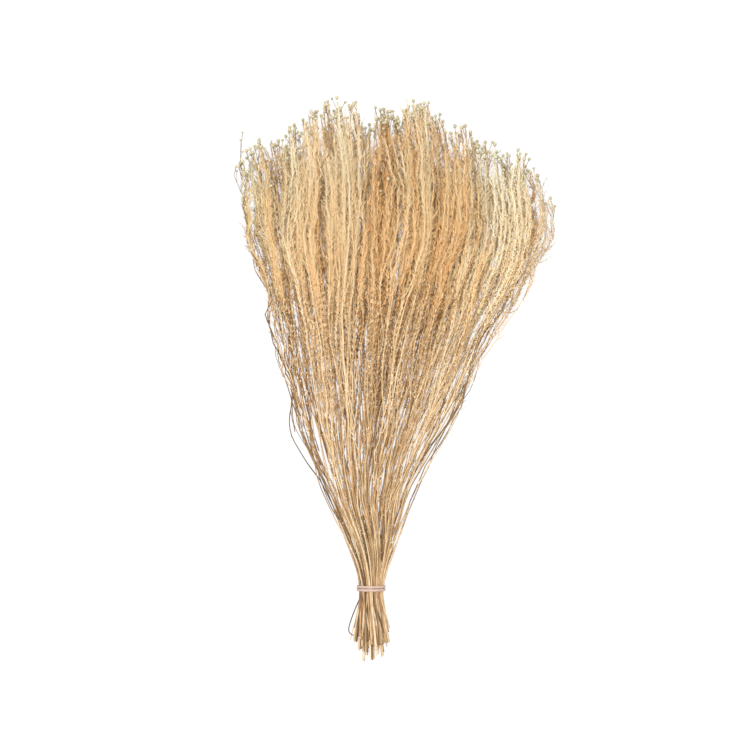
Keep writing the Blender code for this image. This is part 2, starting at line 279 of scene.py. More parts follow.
def stem_plan():
    """The stems of the bunch, each drawn with a seed of its own."""
    places = even_places(STEM_COUNT)
    top = fibre(places[:, 0], places[:, 1], np.full(STEM_COUNT, TOP_AT))
    outermost = int(np.argmin(top[:, 0]))
    feet, tips = stem_ends(places, top[:, 0])
    stems = []
    for i, (u, v) in enumerate(places):
        draw = random.Random(700 + i)
        own, shoots = stem_shoots(draw, tips[i], SHOOTS)
        bow = 0.0
        if i == outermost:
            bow = BOW
            shoots += [Shoot(a * MM, b * MM, across, 0.0, WISP_SIZE) for a, b, across in WISPS]
        phase = draw.uniform(0, TURN)
        stems.append(Stem(u, v, feet[i], tips[i], phase, bow, *own, shoots))
    return stems


stems = stem_plan()
print("stems:", len(stems), "shoots:", sum(len(stem.shoots) for stem in stems))

# %% [markdown]
# ## Fine twigs
#
# A real stem forks again and again, so its top is a spray of a dozen thin twigs, in narrow plumes
# round the stem's tip and round each shoot's. Three more are slender side stems: they start near
# the foot, run up beside the stem and fill the lower bunch with thin wood. Each strand is described
# by when it leaves its parent and where it ends up in the disc. One table per stem, with a column
# for each of these, lets numpy work out all strands at once.

# %% Every strand of a stem in one table
TWIGS = 15
SLENDER = 3
TWIG_SPREAD = 60 * MM
TWIGS_FROM = -130 * MM
TWIGS_UP_TO = 100 * MM
BEYOND_FORK = 12 * MM
BEFORE_TIP = 75 * MM
LEAST_TWIG = 50 * MM
SLENDER_FEET_UP = (1, 20)
TWIG_PAST_TIP = 4 * MM
TWIG_TIPS_DOWN = (1.4, 13 * MM)
PLUME = 5.0 * MM
PLUME_AT = 179 * MM
STRAYS = 0.3
STRAY_TIMES = 2.6
ROUGHER_AT_SIDES = 1.6
ROUGHER_WISPS = 1.5
STEM_TONES = 0.1
TWIG_TONES = 0.06
DARK_SHARE = 0.1
DARKER = 0.28
DISC_LIMIT = 0.99
NEVER = 9.0
STEM_RADIUS = 1.3 * MM
GOLDEN = np.pi * (3 - np.sqrt(5))
GOLDEN_SHARE = 0.618

# Thickness as a share of STEM_RADIUS
STEM_THICK = (0.68, 1)
WISP_THICK = 0.62
SHOOT_THICK = 0.5
TWIG_THICK = (0.28, 0.4)
SLENDER_THICK = (0.4, 0.62)

COLUMNS = "start tip fork_a across_a deep_a fork_b across_b deep_b thick leafy"
START, TIP, FORK_A, ACROSS_A, DEEP_A, FORK_B, ACROSS_B, DEEP_B, THICK, LEAFY = range(10)
Strands = namedtuple("Strands", COLUMNS + " tint parent kinks")


def stem_strands(stem, rng):
    """The stem, its shoots and its fine twigs. A fork at NEVER means that it doesn't leave there."""
    thick = WISP_THICK if stem.bow else rng.uniform(*STEM_THICK)
    rows = [(stem.foot, stem.tip, NEVER, 0, 0, NEVER, 0, 0, thick, 1.0)]
    for shoot in stem.shoots:
        first = (shoot.start, shoot.tip, shoot.start, shoot.across, shoot.deep)
        thick = SHOOT_THICK if shoot.size == 1 else WISP_THICK
        rows.append(first + (NEVER, 0, 0, thick, float(shoot.size == 1)))
    rows = np.array(rows)
    parent = np.append(np.zeros(SLENDER, int), np.arange(TWIGS - SLENDER) % (1 + SHOOTS))
    twigs = rows[parent]
    fork = np.where(twigs[:, FORK_A] < NEVER, twigs[:, FORK_A] + BEYOND_FORK, TWIGS_FROM)
    earliest = np.maximum(fork, TWIGS_FROM)
    latest = np.minimum(twigs[:, TIP] - BEFORE_TIP, TWIGS_UP_TO)
    start = earliest + np.maximum(latest - earliest, 0) * rng.uniform(0, 1, TWIGS)
    start[:SLENDER] = stem.foot + rng.uniform(*SLENDER_FEET_UP, SLENDER) * MM
    tip = twigs[:, TIP] + TWIG_PAST_TIP - rng.gamma(*TWIG_TIPS_DOWN, TWIGS)
    twigs[:, TIP] = np.minimum(np.maximum(tip, start + LEAST_TWIG), LENGTH / 2 - 2 * MM)
    twigs[:, START] = start
    twigs[:, FORK_B] = start
    twigs[:, [ACROSS_B, DEEP_B]] = plume_places(stem, rows, parent, rng)
    twigs[:, THICK] = rng.uniform(*TWIG_THICK, TWIGS)
    twigs[:SLENDER, THICK] = rng.uniform(*SLENDER_THICK, SLENDER)
    rough = 1 + ROUGHER_AT_SIDES * at_side(stem.u + rows[:, ACROSS_A], rows[:, THICK])
    rough += ROUGHER_WISPS * (rows[:, LEAFY] == 0)
    rough = np.append(rough, np.ones(TWIGS))
    follows = np.append(np.full(len(rows), -1), parent)
    kinks = strand_kinks(follows, np.append(rows[:, START], start), rough, rng)
    kinks[len(rows) : len(rows) + SLENDER] += beside_stem(stem, rng)
    tone = stem_tone(stem) + rng.normal(0, STEM_TONES) + rng.normal(0, STEM_TONES, len(rows))
    tint = np.append(tone, tone[parent]) + rng.normal(0, TWIG_TONES, len(rows) + TWIGS)
    evenly = (GOLDEN_SHARE * np.arange(len(tint)) + stem.phase) % 1
    tint -= DARKER * (evenly < DARK_SHARE)
    tint[1 + SHOOTS : len(rows)] = WISP_TONE
    parent = np.append(np.arange(len(rows)), parent)
    return Strands(*np.concatenate((rows, twigs)).T, np.clip(tint, 0.03, 0.9), parent, kinks)


def plume_places(stem, rows, parent, rng):
    """Places round each twig's parent, PLUME away at most, and within the disc of the bunch.

    A share STRAYS of the twigs goes STRAY_TIMES as far, and so crosses others on its way. A parent
    beyond DISC_LIMIT keeps its twigs beside it.
    """
    ends = rows[parent][:, [ACROSS_A, DEEP_A]]
    ends[parent == 0] = (stem.across, stem.deep)
    limit = np.maximum(np.linalg.norm(ends + (stem.u, stem.v), axis=1, keepdims=True), DISC_LIMIT)
    angle = rng.uniform(0, TURN) + GOLDEN * np.arange(len(parent))
    beside = PLUME * np.sqrt(rng.uniform(0.2, 1, len(parent)))
    beside *= np.where(rng.uniform(0, 1, len(parent)) < STRAYS, STRAY_TIMES, 1)
    half_width, reach = (section(np.array(PLUME_AT), column) for column in (HALF_WIDTH, ABOVE))
    round_parent = np.stack((np.cos(angle) / half_width, np.sin(angle) / reach), axis=1)
    places = ends + beside[:, None] * round_parent + (stem.u, stem.v)
    places /= np.maximum(np.linalg.norm(places, axis=1, keepdims=True) / limit, 1)
    return places - (stem.u, stem.v)


# %% [markdown]
# Woody twigs run straight from node to node and turn a little at each. Sine waves alone would make
# them look like combed hair. So every strand has a small random offset at fixed steps along the
# bunch, with straight lines between, and a twig takes over its parent's offsets where it leaves it.

# %% Kinks and tones
KINK_EVERY = 13 * MM
KINK_AT = np.arange(-LENGTH / 2 - KINK_EVERY, LENGTH / 2 + 2 * KINK_EVERY, KINK_EVERY)
WISP_TONE = 0.06
WANDER_WAVE = (95 * MM, 170 * MM)
BESIDE = 1.8 * MM
BESIDE_TURN = 45 * MM
SPLAY = 0.14
SPLAY_BELOW = 6 * MM
FURTHER = 1.6
FURTHER_AT_SIDES = 1.8
FURTHER_FROM = 0.55
FURTHER_SHARE = 0.35
FURTHER_OVER = 90 * MM
BACK_FROM = -60 * MM
BACK_OVER = 120 * MM
SIDES_FROM = 0.78
SIDES_OVER = 0.15
THIN = 0.65
BROWNEST_AT = 0.2
BROWNEST_TONE = 0.33
PALER_LEFT = 0.09
PALER_RIGHT = 0.38
PALER_OVER = 0.6
PALER_ON_TOP = 0.06

# For stems and shoots, and for twigs, in mm
KINK = (0.6, 0.75)
WANDER = (1.2, 2.0)


def departed(y, fork, over):
    """0 before the fork, and then 2t − t² up to 1, as a twig that bends back beside its parent."""
    t = np.clip((y - fork) / over, 0, 1)
    return t * (2 - t)


def at_side(u, thick):
    """1 for a thin strand at the left or right side of the bunch, 0 for stems and further in."""
    return smooth((np.abs(u) - SIDES_FROM) / SIDES_OVER) * (thick < THIN)


def strand_kinks(parent, start, rough, rng):
    """Offsets across and up at each KINK_AT: the parent's, plus the strand's own beyond its fork.

    A strand's own offsets also hold a long sine wave, so that it wanders. Rough ones are larger.
    """
    kink = (np.where(parent < 0, *KINK) * rough)[:, None, None] * MM
    wander = np.where(parent < 0, *WANDER)[:, None, None] * MM
    own = kink * rng.normal(0, 1, (len(parent), len(KINK_AT), 2))
    wave = rng.uniform(*WANDER_WAVE, (len(parent), 1, 1))
    own += wander * np.sin(TURN * (KINK_AT[:, None] / wave + rng.uniform(0, 1, (len(parent), 1, 2))))
    own *= smooth((KINK_AT - TIE_ALONG) / FREE_OVER)[:, None]
    own[parent >= 0] *= departed(KINK_AT, start[parent >= 0, None], TWIG_SPREAD)[..., None]
    own[parent >= 0] += own[parent[parent >= 0]]
    return own


def beside_stem(stem, rng):
    """Offsets of the slender side stems: r (cos a, sin a).

    Along the bunch, a turns by up to a radian in BESIDE_TURN. r is BESIDE at the band and grows
    above it, most at the sides of the bunch, until the twigs' own places take over. Below the band
    each leans to the left or right by up to SPLAY of the way down, so the feet cross and spread.
    At the band a points inwards, give or take a quarter turn, so that the band still fits.
    """
    inwards = np.arctan2(stem.v, stem.u) + TWIST + np.pi
    angle = inwards + rng.uniform(-0.45, 0.45, (SLENDER, 1)) * np.pi
    angle = angle + rng.uniform(-1, 1, (SLENDER, 1)) * (KINK_AT - TIE_ALONG) / BESIDE_TURN
    away = smooth((KINK_AT - TIE_ALONG) / FURTHER_OVER)
    away *= 1 - smooth((KINK_AT - BACK_FROM) / BACK_OVER)
    away *= 1 + FURTHER_AT_SIDES * smooth((abs(stem.u) - FURTHER_FROM) / FURTHER_SHARE)
    around = np.stack((np.cos(angle), np.sin(angle)), axis=2)
    offsets = BESIDE * (1 + FURTHER * away)[:, None] * around
    lean = SPLAY * np.cos(stem.phase * np.arange(1, SLENDER + 1))
    offsets[..., 0] += lean[:, None] * np.maximum(TIE_ALONG - SPLAY_BELOW - KINK_AT, 0)
    return offsets


def stem_tone(stem):
    """Brownest a little right of the middle, paler towards the left, and palest on the right.

    The stems on top are paler.
    """
    right = stem.u - BROWNEST_AT
    on_top = PALER_ON_TOP * (stem.v - 0.35)
    paler = PALER_RIGHT if right > 0 else PALER_LEFT
    return BROWNEST_TONE + on_top + paler * smooth(abs(right) / PALER_OVER)


def side_share(stem, strands):
    """How much each strand counts as one at the side, by the place where it ends up."""
    across = np.where(strands.fork_b < NEVER, strands.across_b, strands.across_a)
    return at_side(stem.u + across, strands.thick)


# %% The line of a strand
# For bare and for leafy wood
CLEAR_OF_TABLE = (1.35 * MM, 2.4 * MM)
LEAVES_FROM = -150 * MM
LEAFY_OVER = 60 * MM
BOW_OF_TWIGS = 0.6
UNEVEN_STEP = 0.37


def strand_points(stem, strands, k, y):
    """The points at y on strands k: the stem's fibre, moved in the disc by each departure.

    The kinks are added to it, and it never sinks into the table. Where a stem bows out of the
    bunch, its twigs follow it by a part of that, BOW_OF_TWIGS at most.
    """
    spread = smooth((y - SHOOTS_FROM) / (2 * SHOOT_SPREAD))
    across = stem.across * spread
    deep = stem.deep * spread
    first = departed(y, strands.fork_a[k], SHOOT_SPREAD)
    across = across + (strands.across_a[k] - across) * first
    deep = deep + (strands.deep_a[k] - deep) * first
    second = departed(y, strands.fork_b[k], TWIG_SPREAD)
    across = across + (strands.across_b[k] - across) * second
    deep = deep + (strands.deep_b[k] - deep) * second
    free = smooth((y - TIE_ALONG) / FREE_OVER)
    u = stem.u + across + OWN_SWAY * free * np.sin(stem.phase + TURN * y / OWN_WAVES[0])
    v = stem.v + deep + OWN_SWAY * free * np.sin(2 * stem.phase + TURN * y / OWN_WAVES[1])
    points = fibre(u, v, y)
    bow_share = np.where(k == 0, 1, BOW_OF_TWIGS * (UNEVEN_STEP * k % 1))
    points[..., 0] -= stem.bow * bow_share * np.exp(-(((y - BOW_AT) / BOW_OVER) ** 2))
    node = (y - KINK_AT[0]) / KINK_EVERY
    i = node.astype(int)
    share = (node - i)[..., None]
    points[..., ::2] += strands.kinks[k, i] * (1 - share) + strands.kinks[k, i + 1] * share
    leafy = smooth((y - LEAVES_FROM) / LEAFY_OVER)
    clear = CLEAR_OF_TABLE[0] + (CLEAR_OF_TABLE[1] - CLEAR_OF_TABLE[0]) * leafy
    points[..., 2] = np.maximum(points[..., 2], clear)
    return points


# %% [markdown]
# ## Surfaces from arrays
#
# Everything on a stem is a tube along a line or a needle with three sides, and a flower head is a
# short fat tube. They are worked out for all strands at once, as arrays of points and of triangles,
# and are then put into one mesh. Bevelled curves would also give tubes, but can't grow leaves.

# %% Rings and tubes
Surface = namedtuple("Surface", "points faces tint slot outward")


def unit(vectors):
    """Each vector divided by its own length."""
    return vectors / np.maximum(np.linalg.norm(vectors, axis=-1, keepdims=True), 1e-12)


def square_to(ahead):
    """Two unit vectors square to ahead: X with its share along ahead removed, and their product."""
    right = unit(np.array((1.0, 0, 0)) - ahead * ahead[..., :1])
    return right, np.cross(ahead, right)


def all_round(ahead, angle):
    """cos a · right + sin a · up at each angle a, square to each vector ahead."""
    right, up = square_to(ahead)
    return np.cos(angle)[:, None] * right[..., None, :] + np.sin(angle)[:, None] * up[..., None, :]


def tube_faces(tubes, rings, sides):
    """Triangles round tubes of equal size, with a fan on each end. Each tube's two poles come last."""
    i = np.arange(rings - 1)[:, None] * sides
    j = np.arange(sides)
    after = (j + 1) % sides
    low_a, low_b = i + j, i + after
    walls = np.stack((low_a, low_b, low_a + sides, low_a + sides, low_b, low_b + sides), axis=-1)
    last = (rings - 1) * sides
    foot = np.stack((after, j, np.full(sides, rings * sides)), axis=-1)
    tip = np.stack((last + j, last + after, np.full(sides, rings * sides + 1)), axis=-1)
    one = np.concatenate((walls.reshape(-1, 3), foot, tip))
    return (one + (np.arange(tubes) * (rings * sides + 2))[:, None, None]).reshape(-1, 3)


def tubes(path, radii, sides, tint, slot, side_shade_and_bleach=0.05, pale_side=0.0):
    """Closed tubes along several paths, each as path [tube, ring, xyz] and radii [tube, ring].

    Each ring is p + r × all_round. One side is paler and the other darker, as painted light and shade
    round the tube and as sun bleaching: the tint gains the given amount × cos (a − pale_side).
    """
    count, rings = radii.shape
    angle = TURN * np.arange(sides) / sides
    out = all_round(unit(np.gradient(path, axis=-2)), angle)
    walls = (path[..., None, :] + radii[..., None, None] * out).reshape(count, rings * sides, 3)
    poles = path[:, [0, -1]]
    points = np.concatenate((walls, poles), axis=1).reshape(-1, 3)
    shade = np.broadcast_to(tint, (count, rings))
    sided = shade[..., None] + side_shade_and_bleach * np.cos(angle - pale_side)
    shade = np.concatenate((sided.reshape(count, -1), shade[:, [0, -1]]), axis=1).ravel()
    return Surface(points, tube_faces(count, rings, sides), shade, slot, np.zeros((1, 3)))


# %% [markdown]
# A needle leaf is a long three-sided pyramid, closed at its root. It needs four faces, and a leaf
# 5 mm long and 1 mm wide shows no more than that. Flat strips would be lighter still, but they
# have no thickness and vanish when seen edge on.


# %% Needle leaves
KEEL = 0.45

# What the tints of the three root corners and of the tip add to that of the leaf
CORNER_TINTS = np.array((0, 0.012, -0.012, 0.09))


def needles(root, along, outward, length, width, tint, slot, facing):
    """Pyramids from root to root + length × along. Their three root corners lie at ± width/2
    across, and at KEEL × width on the inner side. Facing is the way their plume looks there."""
    width = np.broadcast_to(width, len(root))[:, None]
    half = unit(np.cross(along, outward)) * width / 2
    keel = -KEEL * outward * width
    corners = (root + half, root - half, root + keel, root + along * length[:, None])
    points = np.stack(corners, axis=1).reshape(-1, 3)
    one = np.array(((0, 1, 3), (1, 2, 3), (2, 0, 3), (0, 2, 1)))
    faces = (one + 4 * np.arange(len(root))[:, None, None]).reshape(-1, 3)
    shade = (tint[:, None] + CORNER_TINTS).ravel()
    return Surface(points, faces, shade, slot, np.repeat(facing, 4, axis=0))


def spread_evenly(counts, rng):
    """For counts[k] things on each strand k: their strand, and their share of the way along it."""
    k = np.repeat(np.arange(len(counts)), counts)
    order = np.arange(counts.sum()) - np.repeat(np.cumsum(counts) - counts, counts)
    return k, order, (order + rng.uniform(0, 1, len(k))) / counts[k]


def leaning(axis, angle, lean):
    """Away from each axis by lean, towards the angle round it, and straight outwards there."""
    right, up = square_to(axis)
    outward = np.cos(angle)[:, None] * right + np.sin(angle)[:, None] * up
    return np.cos(lean)[:, None] * axis + np.sin(lean)[:, None] * outward, outward


def leaf_frame(stem, strands, k, y, angle, lean):
    """At y on strands k: the point, and the way a leaf grows there."""
    step = 0.5 * MM
    here = strand_points(stem, strands, k, y)
    ahead = unit(strand_points(stem, strands, k, y + step) - here)
    return here, *leaning(ahead, angle, lean)


# %% Leaves along the twigs of one stem
LEAVES_FULL = 60 * MM
CRUMBS_UP_TO = -75 * MM
PLUMES_FROM = 10 * MM
PLUMES_FULL = 130 * MM
LEAVES_PAST_FORK = 6 * MM
LEAVES_BEFORE_TIP = 3 * MM
LEAVES_PER_MM = 0.97
WHORL_EVERY = 5.2 * MM
WHORL_PULL = 0.75
WHORLS_LEFT = 0.34
LEAVES_LEFT = 0.26
WHORLS_MORE = 0.9
BARE_SIDES = 0.85
BARE_UP_TO = 20 * MM
BARE_FADES = 70 * MM
YOUNG_OVER = 24 * MM
YOUNG_SHORTER = 0.45
LEAF_SIZES = (0.6, 1.25)
LEAF_LENGTH = 2.7
LONGER_IN_PLUMES = 3.0
LEAF_WIDTH = 1.2
NARROWER_IN_PLUMES = 0.1
LEAF_LEAN = 1.0
STEEPER_IN_PLUMES = 0.4
LEAN_SPREAD = 0.28
NEATER_IN_PLUMES = 0.05
LEAF_PALER = 0.32
BROWNER_IN_PLUMES = 0.29
LEAF_TONES = 0.2
EVENER_IN_PLUMES = 0.17
INTO_WOOD = 0.7
ON_WISPS = 0.05
OF_BUNCH = 1.8
KEPT_LOW = np.array((-136.5, -241, 0.2)) * MM
KEPT_HIGH = np.array((136.5, 241, 98)) * MM


def kept_inside(root, along, outward, length):
    """What would end outside the bunch's own space leans the other way by as much instead."""
    end = root + along * length[:, None]
    for axis in (0, 2):
        high = (end[:, axis] > KEPT_HIGH[axis]) & (along[:, axis] > 0)
        low = (end[:, axis] < KEPT_LOW[axis]) & (along[:, axis] < 0)
        along[high | low, axis] *= -1
        outward[high | low, axis] *= -1
    return along, outward


def side_shoot(stem, strands, k, y, angle, lean, length):
    """At y on strands k: the point, and the way that something of this length grows there."""
    here, along, outward = leaf_frame(stem, strands, k, y, angle, lean)
    return here, *kept_inside(here, along, outward, length)


def plume_share(y):
    """0 on the lower twigs and 1 in the plumes at the top."""
    return smooth((y - PLUMES_FROM) / (PLUMES_FULL - PLUMES_FROM))


def from_plume(stem, strands, k, y, root, outward):
    """The way a leaf's plume faces there: from the line of the strand's parent to the leaf's root,
    plus 1 mm of the leaf's own way outwards. In the plumes, OF_BUNCH × the way that the bunch
    faces is added."""
    middle = strand_points(stem, strands, strands.parent[k], y)
    away = unit(root - middle + MM * outward)
    return unit(away + OF_BUNCH * plume_share(y)[:, None] * from_bunch(root))


def from_bunch(points):
    """The normal of the oval round the bunch through each point, times how far out that is."""
    columns = (CENTRE, HALF_WIDTH, HEIGHT, ABOVE)
    x, half_width, z, reach = (section(points[:, 1], column) for column in columns)
    across = (points[:, 0] - x) / half_width
    up = (points[:, 2] - z) / reach
    slope = unit(np.stack((across / half_width, 0 * across, up / reach), axis=1))
    return slope * np.minimum(np.hypot(across, up), 1)[:, None]


def leaves(stem, strands, rng):
    """Needles in a spiral, 137.5° apart: few and short on the lower wood, long in the plumes.

    Low down they stand in separate whorls, WHORL_EVERY apart. Below CRUMBS_UP_TO a third of these
    is left, with a quarter of their leaves, because old leaves break off. Thin strands at the
    sides are nearly bare. Near the end of a twig the leaves are young and short.
    """
    start = np.maximum(strands.start + LEAVES_PAST_FORK, LEAVES_FROM)
    start[0] = LEAVES_FROM if stem.bow == 0 else 0
    length = strands.tip - LEAVES_BEFORE_TIP - start
    counts = (length / MM * LEAVES_PER_MM * np.where(strands.leafy > 0, 1, ON_WISPS)).astype(int)
    k, order, share = spread_evenly(counts, rng)
    y = start[k] + length[k] * share
    dense = smooth((y - CRUMBS_UP_TO) / (LEAVES_FULL - CRUMBS_UP_TO))
    whorl = np.floor(y / WHORL_EVERY + UNEVEN_STEP * k)
    thinned = (whorl * GOLDEN_SHARE + 0.29 * k) % 1
    bare = BARE_SIDES * side_share(stem, strands)[k]
    bare = bare * (1 - smooth((y - BARE_UP_TO) / BARE_FADES))
    kept = (LEAVES_LEFT + (1 - LEAVES_LEFT) * dense) * (1 - bare)
    keep = (rng.uniform(0, 1, len(k)) < kept) & (thinned < WHORLS_LEFT + WHORLS_MORE * dense)
    k, order, y, whorl = k[keep], order[keep], y[keep], whorl[keep]
    plume = plume_share(y) * (strands.leafy[k] > 0)
    y = y + (1 - plume) * WHORL_PULL * ((whorl + 0.5 - UNEVEN_STEP * k) * WHORL_EVERY - y)
    angle = order * GOLDEN + rng.normal(0, 0.5, len(k))
    lean = rng.normal(0, 1, len(k)) * (LEAN_SPREAD - NEATER_IN_PLUMES * plume)
    lean = LEAF_LEAN - STEEPER_IN_PLUMES * plume + lean
    here, along, outward = leaf_frame(stem, strands, k, y, angle, lean)
    young = smooth(1 - (strands.tip[k] - y) / YOUNG_OVER)
    size = rng.uniform(*LEAF_SIZES, len(k)) * (1 - YOUNG_SHORTER * young)
    long = (LEAF_LENGTH + LONGER_IN_PLUMES * plume) * MM * size
    tint = strands.tint[k] + LEAF_PALER - BROWNER_IN_PLUMES * plume
    tint = tint + rng.normal(0, 1, len(k)) * (LEAF_TONES - EVENER_IN_PLUMES * plume)
    root = here + outward * wood_radius(strands, k, y)[:, None] * INTO_WOOD
    along, outward = kept_inside(root, along, outward, long)
    wide = (LEAF_WIDTH - NARROWER_IN_PLUMES * plume) * MM * np.sqrt(size)
    facing = from_plume(stem, strands, k, y, root, outward)
    return needles(root, along, outward, long, wide, np.clip(tint, 0.02, 0.9), LEAF, facing)


# %% [markdown]
# Between the leaves stand short side twigs, clothed in leaves of their own. They are what makes a
# plume look soft: without them each strand is a plain rope.

# %% Branchlets
BRANCHLETS_FROM = -25 * MM
BRANCHLETS_PAST_FORK = 20 * MM
BRANCHLETS_BEFORE_TIP = 10 * MM
BRANCHLET_EVERY = 15 * MM
BRANCHLET_LENGTH = (5, 13)
BRANCHLET_LEAN = (0.35, 1.05)
BRANCHLET_WIDTH = 0.6 * MM
BRANCHLET_LEAF_EVERY = 1.5 * MM
BRANCHLET_LEAF_LENGTH = 2.0
BRANCHLET_LEAF_SIZES = (0.7, 1.2)
BRANCHLET_LEAF_LEAN = (0.6, 0.2)
BRANCHLET_LEAF_WIDTH = 0.85 * MM
BRANCHLET_TONES = 0.04
CURL = np.array((0, 0.22, 0))
END_CURL = np.array((0, 0.2, 0))


def branchlets(stem, strands, rng):
    """Side twigs p + l (s · along + s² · CURL), with a spiral of leaves on each."""
    start = np.maximum(strands.start + BRANCHLETS_PAST_FORK, BRANCHLETS_FROM)
    length = np.maximum(strands.tip - BRANCHLETS_BEFORE_TIP - start, 0)
    counts = (length / BRANCHLET_EVERY * (strands.leafy > 0)).astype(int)
    k, order, share = spread_evenly(counts, rng)
    y = start[k] + length[k] * share
    plume = plume_share(y)
    angle = order * GOLDEN + rng.normal(0, 0.6, len(k))
    lean = rng.uniform(*BRANCHLET_LEAN, len(k))
    long = rng.uniform(*BRANCHLET_LENGTH, len(k)) * (0.6 + 0.4 * plume) * MM
    here, along, outward = side_shoot(stem, strands, k, y, angle, lean, long)
    tint = np.clip(strands.tint[k] + rng.normal(0, BRANCHLET_TONES, len(k)), 0.05, 0.88)
    twigs = needles(here, along + END_CURL, outward, long, BRANCHLET_WIDTH, tint, BARK, outward)
    per_twig = (long / BRANCHLET_LEAF_EVERY).astype(int) + 1
    b, order, share = spread_evenly(per_twig, rng)
    root = here[b] + long[b, None] * (share[:, None] * along[b] + share[:, None] ** 2 * CURL)
    axis = unit(along[b] + 2 * share[:, None] * CURL)
    lean = rng.normal(*BRANCHLET_LEAF_LEAN, len(b))
    leaf_along, leaf_out = leaning(axis, order * GOLDEN + 2.0 * b, lean)
    # Twice as long in the plumes, and a little shorter towards the end of the branchlet
    size = BRANCHLET_LEAF_LENGTH * (1 + plume[b]) * MM
    size = size * rng.uniform(*BRANCHLET_LEAF_SIZES, len(b)) * (1 - 0.3 * share)
    leaf_along, leaf_out = kept_inside(root, leaf_along, leaf_out, size)
    leaf_tint = np.clip(tint[b] + rng.normal(0, BRANCHLET_TONES, len(b)), 0.02, 0.9)
    facing = from_plume(stem, strands, k[b], y[b], root, leaf_out)
    wide = BRANCHLET_LEAF_WIDTH
    return [twigs, needles(root, leaf_along, leaf_out, size, wide, leaf_tint, LEAF, facing)]


# %% Wood
BARK, LEAF, HEAD, CUT = 0, 1, 2, 3
TAPER = 0.52
SLIMMER = 0.26
SLIMMING_OVER = 90 * MM
FOOT_TONE = (0.4, 0.27)
DARKEST_FOOT = 0.23
FOOT_TONE_UP_TO = -150 * MM
FOOT_TONE_FADES = 150 * MM
GREY_FROM = -140 * MM
GREY_OVER = 50 * MM
GREY_UP_TO = 50 * MM
GREY_FADES = 90 * MM
MOST_GREY = 0.9
KNOTS = 0.14
MOTTLED = 0.07
# Painted light and shade round each stem, one side paler and the other darker, with some sun bleaching;
# more of it low down
SIDE_SHADE_AND_BLEACH = 0.05
SIDE_SHADE_AND_BLEACH_LOW = 0.22
BEFORE_HEAD = 2.5 * MM
MOST_SLANT = 1.1


def wood_radius(strands, k, y):
    """Less by TAPER at the tip than at the start, by a smooth step, and less by SLIMMER from a
    little above the band."""
    t = smooth((y - strands.start[k]) / (strands.tip[k] - strands.start[k]))
    slim = 1 - SLIMMER * smooth((y - TIE_ALONG) / SLIMMING_OVER)
    return STEM_RADIUS * strands.thick[k] * (1 - TAPER * t) * slim


def wood(stem, strands, rng):
    """The main stem as an eight-sided tube, its shoots and slender stems with five sides, and its
    twigs with four. Low down each has a tone of its own. Some thin ones at the sides are grey,
    and so is a stem that bows out."""
    parts = []
    foot_tone = np.maximum(rng.normal(*FOOT_TONE, (len(strands.start), 1)), DARKEST_FOOT)
    pale_side = rng.uniform(0, TURN, (len(strands.start), 1, 1))
    side = MOST_GREY * (side_share(stem, strands) * rng.integers(0, 2, len(strands.start)))[:, None]
    side[0] = MOST_GREY if stem.bow else side[0]
    twigs_from = len(strands.start) - TWIGS
    # Which strands, with how many rings along them and how many sides
    groups = (
        (slice(0, 1), 80, 8),
        (slice(1, twigs_from), 32, 5),
        (slice(twigs_from, twigs_from + SLENDER), 40, 5),
        (slice(twigs_from + SLENDER, None), 18, 4),
    )
    for group, rings, sides in groups:
        k = np.arange(len(strands.start))[group, None]
        share = np.linspace(0, 1, rings)
        y = strands.start[k] + (strands.tip[k] - BEFORE_HEAD - strands.start[k]) * share
        path = strand_points(stem, strands, k, y)
        knots = 1 + KNOTS * rng.uniform(-1, 1, (len(k), rings))
        radii = wood_radius(strands, k, y) * knots
        low = 1 - smooth((y - FOOT_TONE_UP_TO) / FOOT_TONE_FADES)
        weathered = side[group] * smooth((y - GREY_FROM) / GREY_OVER)
        weathered *= 1 - smooth((y - GREY_UP_TO) / GREY_FADES)
        tone = strands.tint[k] * (1 - low) + foot_tone[group] * low
        tone += (WISP_TONE - tone) * weathered
        tint = np.clip(tone + MOTTLED * rng.normal(0, 1, (len(k), rings)), 0.02, 0.95)
        # Each tube is paler on one side and darker on the other: painted light and shade, with some sun
        # bleaching
        side_shade_and_bleach = (SIDE_SHADE_AND_BLEACH + SIDE_SHADE_AND_BLEACH_LOW * low)[..., None]
        parts.append(tubes(path, radii, sides, tint, BARK, side_shade_and_bleach, pale_side[group]))
    return [cut_foot(parts[0], rng), *parts[1:]]


def cut_foot(stem_tube, rng, sides=8):
    """The foot is cut at a slant: its ring moves along Y by slant × (1 + cos(a − turn)) × radius.

    The cut face itself gets a material of its own, because it shows the pale wood inside.
    """
    points = stem_tube.points
    slant = rng.uniform(0, MOST_SLANT) * STEM_RADIUS
    turn = rng.uniform(0, TURN)
    points[:sides, 1] += slant * (1 + np.cos(TURN * np.arange(sides) / sides - turn))
    points[-2, 1] += slant
    slots = np.full(len(stem_tube.faces), BARK)
    slots[-2 * sides : -sides] = CUT
    return stem_tube._replace(slot=slots)


STUBS_BETWEEN = (-168 * MM, -20 * MM)
STUB_LEAN = (0.35, 0.9)
STUB_LENGTH = 1.2
STUB_LONGER = (1.2, 1.3)
STUB_WIDTH = 1.0 * MM


def stubs(stem, strands, rng, count=64):
    """Short broken side twigs on the bare wood of the stem and its slender companions."""
    slender = len(strands.start) - TWIGS + np.arange(SLENDER)
    k = rng.choice(np.append(0, slender), count)
    y = rng.uniform(*STUBS_BETWEEN, count)
    angle = rng.uniform(0, TURN, count)
    lean = rng.uniform(*STUB_LEAN, count)
    length = (STUB_LENGTH + rng.gamma(*STUB_LONGER, count)) * MM
    here, along, outward = side_shoot(stem, strands, k, y, angle, lean, length)
    tint = np.clip(strands.tint[k] + rng.normal(0, 0.2, count), 0.02, 0.95)
    return needles(here, along, outward, length, STUB_WIDTH, tint, BARK, outward)


